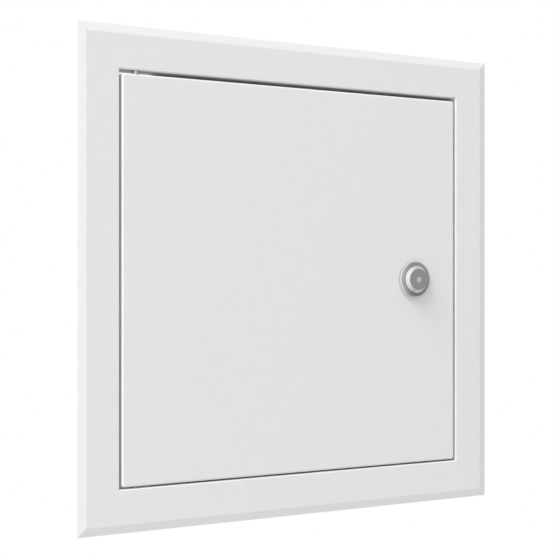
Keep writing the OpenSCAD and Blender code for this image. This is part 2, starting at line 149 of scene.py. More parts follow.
class MetalSettings(PropertyGroup):
    """The bare and plated metals."""

    chrome: FloatVectorProperty(
        name="Chrome", description="Colour of the chrome plate", subtype="COLOR", size=3,
        min=0.0, max=1.0, default=(0.75, 0.755, 0.77))
    chrome_roughness: FloatProperty(
        name="Chrome roughness", description="Mean roughness of the chrome plate",
        subtype="FACTOR", min=0.0, max=1.0, default=0.07)
    turning_pitch: FloatProperty(
        name="Turning pitch", description="Spacing of the turning marks on the lock",
        unit="LENGTH", min=0.0, default=0.16 * MM)
    zinc: FloatVectorProperty(
        name="Zinc", description="Colour of the zinc plate", subtype="COLOR", size=3,
        min=0.0, max=1.0, default=(0.60, 0.62, 0.64))
    zinc_roughness: FloatProperty(
        name="Zinc roughness", description="Mean roughness of the zinc plate",
        subtype="FACTOR", min=0.0, max=1.0, default=0.34)
    spangle_size: FloatProperty(
        name="Spangle size", description="Width of a zinc crystal on the sheet parts",
        unit="LENGTH", min=0.0, default=3.5 * MM)


class SoftSettings(PropertyGroup):
    """The nylon bushes and the foam seals."""

    nylon: FloatVectorProperty(
        name="Nylon", description="Colour of the bushes", subtype="COLOR", size=3,
        min=0.0, max=1.0, default=(0.20, 0.20, 0.21))
    foam: FloatVectorProperty(
        name="Foam", description="Colour of the seal", subtype="COLOR", size=3,
        min=0.0, max=1.0, default=(0.24, 0.25, 0.265))
    pore_size: FloatProperty(
        name="Pore size", description="Width of a foam cell", unit="LENGTH",
        min=0.0, default=0.7 * MM)
    edge_radius: FloatProperty(
        name="Edge radius", description="Rounding of a seal's long edges", unit="LENGTH",
        min=0.0, default=0.7 * MM)


class SpringSettings(PropertyGroup):
    """The coil spring round the upper hinge pin."""

    wire: FloatProperty(
        name="Wire", description="Diameter of the spring wire", unit="LENGTH",
        min=0.0, default=0.6 * MM)
    open_turns: FloatProperty(
        name="Open turns", description="Turns between the closed ends", min=1.0, default=9.0)
    closed_turns: FloatProperty(
        name="Closed turns", description="Turns that lie on each other at each end",
        min=0.0, default=1.25)


class ThreadSettings(PropertyGroup):
    """The thread on the lock's barrel."""

    pitch: FloatProperty(
        name="Pitch", description="Spacing of the thread", unit="LENGTH",
        min=0.0, default=1.5 * MM)
    ridge_width: FloatProperty(
        name="Ridge width", description="Thickness of the round ridge", unit="LENGTH",
        min=0.0, default=1.1 * MM)
    ridge_height: FloatProperty(
        name="Ridge height", description="Height of the ridge above the barrel", unit="LENGTH",
        min=0.0, default=0.35 * MM)
    barrel: FloatProperty(
        name="Barrel", description="Diameter of the barrel under the thread", unit="LENGTH",
        min=0.0, default=22.0 * MM)
    flats: FloatProperty(
        name="Flats", description="Width across the barrel's two flats", unit="LENGTH",
        min=0.0, default=20.0 * MM)


class WeldSettings(PropertyGroup):
    """The spot welds that hold the plates, straps and brackets."""

    frame_spot: FloatProperty(
        name="Frame spot", description="Diameter of a weld on a plate or strap", unit="LENGTH",
        min=0.0, default=4.4 * MM)
    door_spot: FloatProperty(
        name="Door spot", description="Diameter of a weld on a hinge bracket", unit="LENGTH",
        min=0.0, default=3.0 * MM)
    rim: FloatProperty(
        name="Rim", description="Thickness of the raised rim round a weld", unit="LENGTH",
        min=0.0, default=0.3 * MM)
    leg_width: FloatProperty(
        name="Leg width", description="Width of a corner plate's leg", unit="LENGTH",
        min=0.0, default=15.0 * MM)
    leg_spacing: FloatProperty(
        name="Leg spacing", description="Distance between the welds on a leg", unit="LENGTH",
        min=0.0, default=16.0 * MM)
    strap_spacing: FloatProperty(
        name="Strap spacing", description="Distance between the two welds on a strap",
        unit="LENGTH", min=0.0, default=10.0 * MM)
    strap_depth: FloatProperty(
        name="Strap depth", description="Depth of a strap's welds behind the wall plane",
        unit="LENGTH", min=0.0, default=8.0 * MM)


class StageSettings(PropertyGroup):
    """The floor, the studio light and the camera."""

    floor_drop: FloatProperty(
        name="Floor drop", description="Distance from the panel's lower edge to the floor",
        unit="LENGTH", min=0.0, default=0.42)
    floor_radius: FloatProperty(
        name="Floor radius", description="Radius at which the floor has faded out",
        unit="LENGTH", min=0.0, default=1.35)
    floor_grey: FloatVectorProperty(
        name="Floor grey", description="Colour of the floor", subtype="COLOR", size=3,
        min=0.0, max=1.0, default=(0.55, 0.55, 0.55))
    key_power: FloatProperty(
        name="Key power", description="Power of the soft light at upper left",
        min=0.0, default=335.0)
    key_size: FloatProperty(
        name="Key size", description="Width of the soft light", unit="LENGTH",
        min=0.0, default=3.4)
    key_way: FloatVectorProperty(
        name="Key way", description="The way from the panel to the soft light",
        subtype="DIRECTION", size=3, default=(-0.6, -0.2, 0.775))
    key_distance: FloatProperty(
        name="Key distance", description="Distance of the soft light", unit="LENGTH",
        min=0.0, default=6.0)
    left_light: FloatProperty(
        name="Left light", description="Brightness of the studio at the far left",
        min=0.0, default=1.05)
    right_light: FloatProperty(
        name="Right light", description="Brightness of the studio ahead and at the right",
        min=0.0, default=0.52)
    rear_light: FloatProperty(
        name="Rear light", description="Brightness of the studio behind the panel",
        min=0.0, default=0.5)
    overhead_light: FloatProperty(
        name="Overhead light",
        description="How much brighter the studio is straight above the panel",
        min=0.0, default=0.35)
    card_light: FloatVectorProperty(
        name="Card light",
        description="Brightness of the dark card at its foot and from its middle up",
        size=2, min=0.0, default=(0.21, 0.36))
    card_turn: FloatProperty(
        name="Card turn", description="Turn of the dark card from straight ahead to the right",
        subtype="ANGLE", default=math.radians(46.0))
    card_reach: FloatVectorProperty(
        name="Card reach", description="Half the width and half the height of the dark card",
        size=2, default=(0.29, 0.5))
    camera_place: FloatVectorProperty(
        name="Camera place", description="Where the camera stands", subtype="TRANSLATION",
        unit="LENGTH", size=3, default=(-0.5135, -0.8573, 0.0))
    camera_turn: FloatProperty(
        name="Camera turn", description="Turn of the camera about the vertical", subtype="ANGLE",
        default=math.radians(-29.96))
    lens: FloatProperty(
        name="Lens", description="Focal length in millimetres", min=1.0, default=83.13)
    frame_shift: FloatVectorProperty(
        name="Frame shift", description="Sideways and upward shift of the picture", size=2,
        default=(0.001, 0.00226))


SETTINGS = {
    "panel_paint": PaintSettings,
    "panel_metal": MetalSettings,
    "panel_soft": SoftSettings,
    "panel_spring": SpringSettings,
    "panel_thread": ThreadSettings,
    "panel_weld": WeldSettings,
    "panel_stage": StageSettings,
}


def add_node(tree, kind, inputs=None, **options):
    """Adds a node. Options are its own settings; inputs are values, or sockets to link."""
    node = tree.nodes.new(kind)
    for key, value in options.items():
        setattr(node, key, value)
    for key, value in (inputs or {}).items():
        if isinstance(value, bpy.types.NodeSocket):
            tree.links.new(value, node.inputs[key])
        else:
            node.inputs[key].default_value = value
    return node


def opaque(colour, factor=1.0):
    """A colour with full alpha, dimmed or lifted by a factor."""
    return (colour[0] * factor, colour[1] * factor, colour[2] * factor, 1.0)


def new_finish(name, metallic, **sockets):
    """A material with its shader, and the Object coordinates that its patterns read."""
    material = bpy.data.materials.new(name)
    material.use_nodes = True
    tree = material.node_tree
    shader = tree.nodes["Principled BSDF"]
    shader.inputs["Metallic"].default_value = metallic
    for key, value in sockets.items():
        shader.inputs[key].default_value = value
    place = add_node(tree, "ShaderNodeTexCoord").outputs["Object"]
    return material, tree, shader, place


def noise(tree, place, size, detail=2.0, roughness=0.5):
    """Smooth noise whose features are about that size in metres."""
    node = add_node(
        tree, "ShaderNodeTexNoise",
        {"Vector": place, "Scale": 1.0 / size, "Detail": detail, "Roughness": roughness})
    return node.outputs["Fac"]


def spread(tree, value, low, high, start=0.3, end=0.7):
    """Maps a pattern's middle range to low..high."""
    node = add_node(
        tree, "ShaderNodeMapRange",
        {"Value": value, "From Min": start, "From Max": end, "To Min": low, "To Max": high})
    return node.outputs["Result"]


def tint(tree, value, low, high, start=0.3, end=0.7):
    """Maps a pattern to a blend of two colours."""
    node = add_node(tree, "ShaderNodeValToRGB", {"Fac": value})
    ramp = node.color_ramp.elements
    ramp[0].position, ramp[0].color = start, low
    ramp[1].position, ramp[1].color = end, high
    return node.outputs["Color"]


def relief(tree, shader, height, distance, strength=1.0, under=None):
    """Drives the shader's normal with a pattern's height, over another relief if given."""
    inputs = {"Height": height, "Distance": distance, "Strength": strength}
    if under is not None:
        inputs["Normal"] = under
    bump = add_node(tree, "ShaderNodeBump", inputs)
    tree.links.new(bump.outputs["Normal"], shader.inputs["Normal"])
    return bump.outputs["Normal"]


def drive(tree, shader, **patterns):
    """Links patterns to the shader's sockets."""
    for key, value in patterns.items():
        tree.links.new(value, shader.inputs[key.replace("_", " ")])


def powder_coat(paint):
    """White powder coat: a fine orange peel and a faint change of gloss."""
    material, tree, shader, place = new_finish("powder_coat", 0.0)
    peel = noise(tree, place, paint.ripple_size, 3.0)
    gloss = noise(tree, place, 60 * MM)
    shade = noise(tree, place, 9 * MM, 4.0)
    drive(
        tree, shader,
        Base_Color=tint(tree, shade, opaque(paint.white, 0.985), opaque(paint.white)),
        Roughness=spread(tree, gloss, paint.roughness - 0.05, paint.roughness + 0.05))
    relief(tree, shader, peel, paint.ripple_height)
    return material


def turned_chrome(metal):
    """Polished chrome plate with the faint rings that the lathe leaves under it."""
    material, tree, shader, place = new_finish("turned_chrome", 1.0)
    centred = add_node(
        tree, "ShaderNodeMapping", {"Vector": place, "Location": -LOCK_AXIS}).outputs["Vector"]
    rings = add_node(
        tree, "ShaderNodeTexWave",
        {"Vector": centred, "Scale": math.tau / 20 / metal.turning_pitch, "Distortion": 0.4},
        wave_type="RINGS", rings_direction="Y").outputs["Fac"]
    smear = noise(tree, place, 5 * MM, 4.0)
    drive(
        tree, shader,
        Base_Color=tint(tree, smear, opaque(metal.chrome, 0.95), opaque(metal.chrome)),
        Roughness=spread(
            tree, smear, metal.chrome_roughness - 0.03, metal.chrome_roughness + 0.03))
    relief(tree, shader, rings, 0.0004 * MM)
    return material


def spangled_zinc(metal):
    """Galvanised sheet: crystals of different grey, each with its own gloss."""
    material, tree, shader, place = new_finish("spangled_zinc", 1.0)
    crystals = add_node(
        tree, "ShaderNodeTexVoronoi", {"Vector": place, "Scale": 1.0 / metal.spangle_size})
    grey = add_node(tree, "ShaderNodeSeparateColor", {"Color": crystals.outputs["Color"]})
    grain = noise(tree, place, 0.4 * MM, 3.0)
    drive(
        tree, shader,
        Base_Color=tint(
            tree, grey.outputs["Red"], opaque(metal.zinc, 0.82), opaque(metal.zinc, 1.08),
            start=0.0, end=1.0),
        Roughness=spread(
            tree, grey.outputs["Green"], metal.zinc_roughness - 0.06, metal.zinc_roughness + 0.12,
            start=0.0, end=1.0))
    relief(tree, shader, grain, 0.006 * MM)
    return material


def bright_zinc(metal):
    """Electroplated zinc on the pins, nut, cam and screw, with a pale chromate bloom."""
    material, tree, shader, place = new_finish("bright_zinc", 1.0)
    bloom = noise(tree, place, 7 * MM, 3.0)
    scratches = add_node(
        tree, "ShaderNodeMapping", {"Vector": place, "Scale": (1.0, 1.0, 0.06)}).outputs["Vector"]
    scuff = noise(tree, scratches, 0.25 * MM, 2.0)
    yellowed = (metal.zinc[0] * 1.05, metal.zinc[1] * 1.0, metal.zinc[2] * 0.9, 1.0)
    drive(
        tree, shader,
        Base_Color=tint(tree, bloom, yellowed, opaque(metal.zinc, 1.1)),
        Roughness=spread(tree, scuff, metal.zinc_roughness - 0.12, metal.zinc_roughness + 0.04))
    relief(tree, shader, scuff, 0.004 * MM)
    return material


def spring_wire(metal):
    """Drawn spring wire: a dull, darker plate with marks of the coiling."""
    material, tree, shader, place = new_finish("spring_wire", 1.0)
    marks = noise(tree, place, 0.5 * MM, 3.0)
    drive(
        tree, shader,
        Base_Color=tint(tree, marks, opaque(metal.zinc, 0.62), opaque(metal.zinc, 0.85)),
        Roughness=spread(tree, marks, 0.28, 0.42))
    relief(tree, shader, marks, 0.004 * MM)
    return material


def moulded_nylon(soft):
    """Grey nylon with the fine grain of its mould."""
    material, tree, shader, place = new_finish("moulded_nylon", 0.0)
    grain = noise(tree, place, 0.35 * MM, 2.0)
    flow = noise(tree, place, 4 * MM, 3.0)
    drive(
        tree, shader,
        Base_Color=tint(tree, flow, opaque(soft.nylon, 0.85), opaque(soft.nylon, 1.2)),
        Roughness=spread(tree, flow, 0.42, 0.54))
    relief(tree, shader, grain, 0.012 * MM)
    return material


def closed_cell_foam(soft):
    """Grey closed-cell foam, pitted by its cut cells, with painted shade darkening each pit."""
    material, tree, shader, place = new_finish("closed_cell_foam", 0.0, **{"Sheen Weight": 0.15})
    cells = add_node(
        tree, "ShaderNodeTexVoronoi", {"Vector": place, "Scale": 1.0 / soft.pore_size})
    # The cell distance sinks the pits (real relief) and also darkens the base colour in them
    # (painted shade in the pits)
    pit_depth_and_shade = cells.outputs["Distance"]
    drive(
        tree, shader,
        Base_Color=tint(
            tree, pit_depth_and_shade, opaque(soft.foam, 0.55), opaque(soft.foam, 1.25), start=0.1, end=0.7),
        Roughness=spread(tree, pit_depth_and_shade, 0.85, 0.97))
    relief(tree, shader, pit_depth_and_shade, 0.12 * MM)
    return material


def weld_mark(metal):
    """The burnt, slightly blued skin of a spot weld."""
    material, tree, shader, place = new_finish("weld_mark", 1.0)
    burn = noise(tree, place, 1.6 * MM, 4.0)
    blued = (metal.zinc[0] * 0.55, metal.zinc[1] * 0.57, metal.zinc[2] * 0.66, 1.0)
    drive(
        tree, shader,
        Base_Color=tint(tree, burn, blued, opaque(metal.zinc, 0.9)),
        Roughness=spread(tree, burn, 0.36, 0.58))
    relief(tree, shader, burn, 0.03 * MM)
    return material


def made_finish(name):
    """A finish that an earlier step has made."""
    material = bpy.data.materials.get(name)
    if material is None:
        raise RuntimeError(f"{name} isn't made yet")
    return material


def dress(names, material):
    """Gives the CAD nodes of those names their finish."""
    for name in names:
        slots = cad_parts[name].data.materials
        slots.clear()
        slots.append(material)


def new_tree(name, lengths=(), counts=(), places=()):
    """An empty geometry tree with a base mesh and named inputs for its sizes and places."""
    tree = bpy.data.node_groups.new(name, "GeometryNodeTree")
    kinds = {"NodeSocketFloat": lengths, "NodeSocketInt": counts, "NodeSocketVector": places}
    tree.interface.new_socket("Base", in_out="INPUT", socket_type="NodeSocketGeometry")
    for kind, labels in kinds.items():
        for label in labels:
            tree.interface.new_socket(label, in_out="INPUT", socket_type=kind)
    tree.interface.new_socket("Piece", in_out="OUTPUT", socket_type="NodeSocketGeometry")
    return tree, add_node(tree, "NodeGroupInput").outputs


def end_tree(tree, shape, material, smooth=True):
    """Ends a tree in real geometry that carries its finish."""
    real = add_node(tree, "GeometryNodeRealizeInstances", {"Geometry": shape})
    shaded = add_node(
        tree, "GeometryNodeSetShadeSmooth",
        {"Geometry": real.outputs["Geometry"], "Shade Smooth": smooth})
    coated = add_node(
        tree, "GeometryNodeSetMaterial",
        {"Geometry": shaded.outputs["Geometry"], "Material": material})
    add_node(tree, "NodeGroupOutput", {"Piece": coated.outputs["Geometry"]})


def reckon(tree, operation, *values):
    """One step of arithmetic in a tree."""
    return add_node(
        tree, "ShaderNodeMath", dict(enumerate(values)), operation=operation).outputs[0]


def build_piece(name, tree, inputs, base=None):
    """Runs a geometry tree and keeps its result as a plain mesh at the origin."""
    piece = bpy.data.objects.new(name, base or bpy.data.meshes.new(name))
    bpy.context.scene.collection.objects.link(piece)
    modifier = piece.modifiers.new("Build", "NODES")
    modifier.node_group = tree
    for socket in tree.interface.items_tree:
        if socket.in_out == "INPUT" and socket.name in inputs:
            modifier[socket.identifier] = inputs[socket.name]
    depsgraph = bpy.context.evaluated_depsgraph_get()
    mesh = bpy.data.meshes.new_from_object(piece.evaluated_get(depsgraph))
    piece.modifiers.remove(modifier)
    piece.data = mesh
    mesh.name = name
    if not mesh.polygons:
        raise RuntimeError(f"{name} came out empty")
    return piece


def helix(tree, turn, radius, centre, rise, upright):
    """Points on a circle about an axis through a centre, after so many turns and so much rise."""
    angle = reckon(tree, "MULTIPLY", turn, math.tau)
    across = reckon(tree, "MULTIPLY", reckon(tree, "COSINE", angle), radius)
    round_it = reckon(tree, "MULTIPLY", reckon(tree, "SINE", angle), radius)
    along_y, along_z = (round_it, rise) if upright else (rise, round_it)
    offset = add_node(
        tree, "ShaderNodeCombineXYZ", {"X": across, "Y": along_y, "Z": along_z}).outputs[0]
    return add_node(
        tree, "ShaderNodeVectorMath", {0: centre, 1: offset}, operation="ADD").outputs[0]


def coil_points(tree, steps):
    """A line of that many steps, and how far each of its points is along it, from 0 to 1."""
    count = reckon(tree, "ADD", steps, 1.0)
    line = add_node(tree, "GeometryNodeMeshLine", {"Count": count})
    wire = add_node(tree, "GeometryNodeMeshToCurve", {"Mesh": line.outputs["Mesh"]})
    index = add_node(tree, "GeometryNodeInputIndex").outputs["Index"]
    return wire.outputs["Curve"], reckon(tree, "DIVIDE", index, steps)


def sweep_round(tree, path, places, thickness, sides):
    """Moves a path's points to their places, and sweeps a round section along it."""
    moved = add_node(tree, "GeometryNodeSetPosition", {"Geometry": path, "Position": places})
    section = add_node(
        tree, "GeometryNodeCurvePrimitiveCircle",
        {"Resolution": sides, "Radius": reckon(tree, "DIVIDE", thickness, 2.0)})
    return add_node(
        tree, "GeometryNodeCurveToMesh",
        {"Curve": moved.outputs["Geometry"], "Profile Curve": section.outputs["Curve"],
         "Fill Caps": True}).outputs["Mesh"]


def foam_strip_tree(material):
    """A straight strip that starts at a place, runs along X and is turned about Y."""
    tree, given = new_tree(
        "foam_strip", ("Length", "Width", "Thickness", "Edge radius", "Turn"), places=("Start",))
    end = add_node(tree, "ShaderNodeCombineXYZ", {"X": given["Length"]})
    path = add_node(tree, "GeometryNodeCurvePrimitiveLine", {"End": end.outputs[0]})
    upright = add_node(
        tree, "GeometryNodeSetCurveNormal", {"Curve": path.outputs["Curve"]}, mode="Z_UP")
    square = add_node(
        tree, "GeometryNodeCurvePrimitiveQuadrilateral",
        {"Width": given["Thickness"], "Height": given["Width"]})
    rounded = add_node(
        tree, "GeometryNodeFilletCurve",
        {"Curve": square.outputs["Curve"], "Radius": given["Edge radius"],
         "Count": FOAM_EDGE_STEPS}, mode="POLY")
    strip = add_node(
        tree, "GeometryNodeCurveToMesh",
        {"Curve": upright.outputs["Curve"], "Profile Curve": rounded.outputs["Curve"],
         "Fill Caps": True})
    turn = add_node(tree, "ShaderNodeCombineXYZ", {"Y": given["Turn"]})
    placed = add_node(
        tree, "GeometryNodeTransform",
        {"Geometry": strip.outputs["Mesh"], "Translation": given["Start"],
         "Rotation": turn.outputs[0]})
    end_tree(tree, placed.outputs["Geometry"], material, smooth=False)
    return tree


def coil_spring_tree(material):
    """A coil that starts at a place and climbs: closed turns at both ends, open ones between."""
    tree, given = new_tree(
        "coil_spring", ("Wire", "Radius", "Height", "Open turns", "Closed turns"),
        counts=("Steps",), places=("Start",))
    path, along = coil_points(tree, given["Steps"])
    ends = reckon(tree, "MULTIPLY", given["Closed turns"], 2.0)
    turn = reckon(tree, "MULTIPLY", along, reckon(tree, "ADD", ends, given["Open turns"]))
    closed_height = reckon(tree, "MULTIPLY", ends, given["Wire"])
    open_height = reckon(tree, "SUBTRACT", given["Height"], closed_height)
    stretch = reckon(tree, "DIVIDE", open_height, given["Open turns"])
    opened = reckon(tree, "MAXIMUM", reckon(tree, "SUBTRACT", turn, given["Closed turns"]), 0.0)
    opened = reckon(tree, "MINIMUM", opened, given["Open turns"])
    closed = reckon(tree, "MULTIPLY", reckon(tree, "SUBTRACT", turn, opened), given["Wire"])
    rise = reckon(tree, "ADD", closed, reckon(tree, "MULTIPLY", opened, stretch))
    places = helix(tree, turn, given["Radius"], given["Start"], rise, upright=True)
    end_tree(tree, sweep_round(tree, path, places, given["Wire"], WIRE_SIDES), material)
    return tree


def barrel_thread_tree(material):
    """A round ridge that winds along Y, cut off by two flats that face along X."""
    tree, given = new_tree(
        "barrel_thread", ("Radius", "Pitch", "Length", "Ridge width", "Half flats"),
        counts=("Steps",), places=("Start",))
    path, along = coil_points(tree, given["Steps"])
    rise = reckon(tree, "MULTIPLY", along, given["Length"])
    turn = reckon(tree, "DIVIDE", rise, given["Pitch"])
    places = helix(tree, turn, given["Radius"], given["Start"], rise, upright=False)
    ridge = sweep_round(tree, path, places, given["Ridge width"], WIRE_SIDES)
    spot = add_node(
        tree, "ShaderNodeSeparateXYZ",
        {"Vector": add_node(tree, "GeometryNodeInputPosition").outputs["Position"]})
    middle = add_node(tree, "ShaderNodeSeparateXYZ", {"Vector": given["Start"]}).outputs["X"]
    lowest = reckon(tree, "SUBTRACT", middle, given["Half flats"])
    highest = reckon(tree, "ADD", middle, given["Half flats"])
    kept = reckon(tree, "MINIMUM", reckon(tree, "MAXIMUM", spot.outputs["X"], lowest), highest)
    flattened = add_node(
        tree, "ShaderNodeCombineXYZ",
        {"X": kept, "Y": spot.outputs["Y"], "Z": spot.outputs["Z"]})
    cut = add_node(
        tree, "GeometryNodeSetPosition", {"Geometry": ridge, "Position": flattened.outputs[0]})
    end_tree(tree, cut.outputs["Geometry"], material)
    return tree


def spot_weld_tree(material):
    """A raised rim and a low button on every point, turned to face the way that it carries."""
    tree, given = new_tree("spot_weld", ("Diameter", "Rim"))
    radius = reckon(tree, "DIVIDE", given["Diameter"], 2.0)
    rim_path = add_node(
        tree, "GeometryNodeCurvePrimitiveCircle", {"Resolution": WELD_SIDES, "Radius": radius})
    rim_section = add_node(
        tree, "GeometryNodeCurvePrimitiveCircle",
        {"Resolution": RIM_SIDES, "Radius": reckon(tree, "DIVIDE", given["Rim"], 2.0)})
    rim = add_node(
        tree, "GeometryNodeCurveToMesh",
        {"Curve": rim_path.outputs["Curve"], "Profile Curve": rim_section.outputs["Curve"]})
    button = add_node(
        tree, "GeometryNodeMeshCone",
        {"Vertices": WELD_SIDES, "Radius Top": reckon(tree, "MULTIPLY", radius, BUTTON_TOP),
         "Radius Bottom": reckon(tree, "MULTIPLY", radius, BUTTON_FOOT),
         "Depth": reckon(tree, "MULTIPLY", given["Rim"], BUTTON_HEIGHT)})
    mark = add_node(tree, "GeometryNodeJoinGeometry")
    for shape in (rim, button):
        tree.links.new(shape.outputs["Mesh"], mark.inputs["Geometry"])
    facing = add_node(
        tree, "GeometryNodeInputNamedAttribute", {"Name": "facing"}, data_type="FLOAT_VECTOR")
    turned = add_node(
        tree, "FunctionNodeAlignRotationToVector",
        {"Vector": facing.outputs["Attribute"]}, axis="Z")
    welds = add_node(
        tree, "GeometryNodeInstanceOnPoints",
        {"Points": given["Base"], "Instance": mark.outputs["Geometry"],
         "Rotation": turned.outputs["Rotation"]})
    end_tree(tree, welds.outputs["Instances"], material)
    return tree


def marked_points(name, spots):
    """A mesh of loose points, each with the way that it faces."""
    mesh = bpy.data.meshes.new(name)
    mesh.from_pydata([place for place, _ in spots], [], [])
    facing = mesh.attributes.new("facing", "FLOAT_VECTOR", "POINT")
    for value, (_, way) in zip(facing.data, spots):
        value.vector = way
    return mesh


class PANEL_OT_coat_steel(Operator):
    """Coats the frame and the door in white"""

    bl_idname = "panel.coat_steel"
    bl_label = "Coat steel"

    def execute(self, context):
        dress(PAINTED_NODES, powder_coat(context.scene.panel_paint))
        return {"FINISHED"}


class PANEL_OT_plate_metal(Operator):
    """Plates the lock in chrome and the plates, straps and pins in zinc"""

    bl_idname = "panel.plate_metal"
    bl_label = "Plate metal"

    def execute(self, context):
        metal = context.scene.panel_metal
        dress(CHROME_NODES, turned_chrome(metal))
        dress(SHEET_ZINC_NODES, spangled_zinc(metal))
        dress(TURNED_ZINC_NODES, bright_zinc(metal))
        return {"FINISHED"}


class PANEL_OT_mould_bushes(Operator):
    """Gives the hinge bushes their moulded nylon"""

    bl_idname = "panel.mould_bushes"
    bl_label = "Mould bushes"

    def execute(self, context):
        dress(NYLON_NODES, moulded_nylon(context.scene.panel_soft))
        return {"FINISHED"}


class PANEL_OT_lay_seals(Operator):
    """Lays the three foam seals on the door stop"""

    bl_idname = "panel.lay_seals"
    bl_label = "Lay seals"

    def execute(self, context):
        soft = context.scene.panel_soft
        tree = foam_strip_tree(closed_cell_foam(soft))
        for node in SEAL_NODES:
            low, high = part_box(node)
            size = high - low
            middle = (low + high) / 2
            upright = size.z > size.x
            start = Vector((middle.x, middle.y, low.z) if upright else (low.x, middle.y, middle.z))
            strip = build_piece(f"foam_{node}", tree, {
                "Length": max(size.x, size.z),
                "Width": min(size.x, size.z),
                "Thickness": size.y,
                "Edge radius": soft.edge_radius,
                "Turn": -math.pi / 2 if upright else 0.0,
                "Start": start,
            })
            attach(strip, "frame")
            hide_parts(node)
        return {"FINISHED"}


class PANEL_OT_wind_spring(Operator):
    """Winds the coil spring round the upper hinge pin"""

    bl_idname = "panel.wind_spring"
    bl_label = "Wind spring"

    def execute(self, context):
        settings = context.scene.panel_spring
        low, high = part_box("pin_spring")
        start = Vector((PIVOT_AXIS.x, PIVOT_AXIS.y, low.z + settings.wire / 2))
        turns = settings.open_turns + 2 * settings.closed_turns
        tree = coil_spring_tree(spring_wire(context.scene.panel_metal))
        spring = build_piece("coil_spring", tree, {
            "Wire": settings.wire,
            "Radius": (high.x - low.x - settings.wire) / 2,
            "Height": high.z - low.z - settings.wire,
            "Open turns": settings.open_turns,
            "Closed turns": settings.closed_turns,
            "Steps": round(SPRING_STEPS * turns),
            "Start": start,
        })
        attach(spring, "door")
        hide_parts("pin_spring")
        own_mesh(spring)
        return {"FINISHED"}


class PANEL_OT_cut_thread(Operator):
    """Cuts the thread on the lock's barrel, behind its nut"""

    bl_idname = "panel.cut_thread"
    bl_label = "Cut thread"

    def execute(self, context):
        settings = context.scene.panel_thread
        ridge_radius = settings.ridge_width / 2
        nut_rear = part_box("lock_nut")[1].y
        barrel_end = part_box("lock_housing")[1].y
        start = Vector((LOCK_AXIS.x, nut_rear + ridge_radius, LOCK_AXIS.z))
        length = barrel_end - ridge_radius - start.y
        thread = build_piece("barrel_thread", barrel_thread_tree(made_finish("turned_chrome")), {
            "Radius": settings.barrel / 2 + settings.ridge_height - ridge_radius,
            "Pitch": settings.pitch,
            "Length": length,
            "Ridge width": settings.ridge_width,
            "Half flats": settings.flats / 2 - SUNK,
            "Steps": round(THREAD_STEPS * length / settings.pitch),
            "Start": start,
        })
        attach(thread, "door")
        return {"FINISHED"}


class PANEL_OT_weld_sheet(Operator):
    """Marks the spot welds on the plates, straps and hinge brackets"""

    bl_idname = "panel.weld_sheet"
    bl_label = "Weld sheet"

    def execute(self, context):
        settings = context.scene.panel_weld
        tree = spot_weld_tree(weld_mark(context.scene.panel_metal))
        frame_spots = self.plate_spots(settings) + self.strap_spots(settings)
        bodies = {
            "frame": (settings.frame_spot, frame_spots),
            "door": (settings.door_spot, self.bracket_spots()),
        }
        for body, (diameter, spots) in bodies.items():
            name = f"spot_welds_{body}"
            sizes = {"Diameter": diameter, "Rim": settings.rim}
            welds = build_piece(name, tree, sizes, marked_points(name, spots))
            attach(welds, body)
        return {"FINISHED"}

    def plate_spots(self, settings):
        """A row of welds along each leg of a corner plate, on its back."""
        spots = []
        for node in CORNER_PLATES:
            low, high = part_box(node)
            side_x, edge_x = (1, high.x) if low.x > 0 else (-1, low.x)
            side_z, edge_z = (1, high.z) if low.z > 0 else (-1, low.z)
            corner = Vector((edge_x, high.y, edge_z))
            middle = settings.leg_width / 2
            for k in range(LEG_WELDS):
                along = middle + (k + FIRST_WELD) * settings.leg_spacing
                for reach_x, reach_z in ((along, middle), (middle, along)):
                    place = corner - Vector((side_x * reach_x, 0.0, side_z * reach_z))
                    spots.append((place, (0.0, 1.0, 0.0)))
        return spots

    def strap_spots(self, settings):
        """Two welds side by side where a strap lies on its jamb."""
        spots = []
        for node in FIXING_STRAPS:
            low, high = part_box(node)
            side, face_x = (1.0, high.x) if low.x > 0 else (-1.0, low.x)
            middle = (low.z + high.z) / 2
            for step in (-0.5, 0.5):
                height = middle + step * settings.strap_spacing
                spots.append((Vector((face_x, settings.strap_depth, height)), (side, 0.0, 0.0)))
        return spots

    def bracket_spots(self):
        """Two welds on the guide bracket's web and two on the lower hinge plate."""
        low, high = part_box("pin_guide_bracket")
        web = low.x + BRACKET_SHEET
        depth = (low.y + high.y) / 2
        spots = [
            (Vector((web, depth, low.z + share * (high.z - low.z))), (1.0, 0.0, 0.0))
            for share in GUIDE_WELDS
        ]
        low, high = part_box("lower_hinge_plate")
        spots += [
            (Vector((low.x + share * (high.x - low.x), depth, high.z)), (0.0, 0.0, 1.0))
            for share in HINGE_PLATE_WELDS
        ]
        return spots


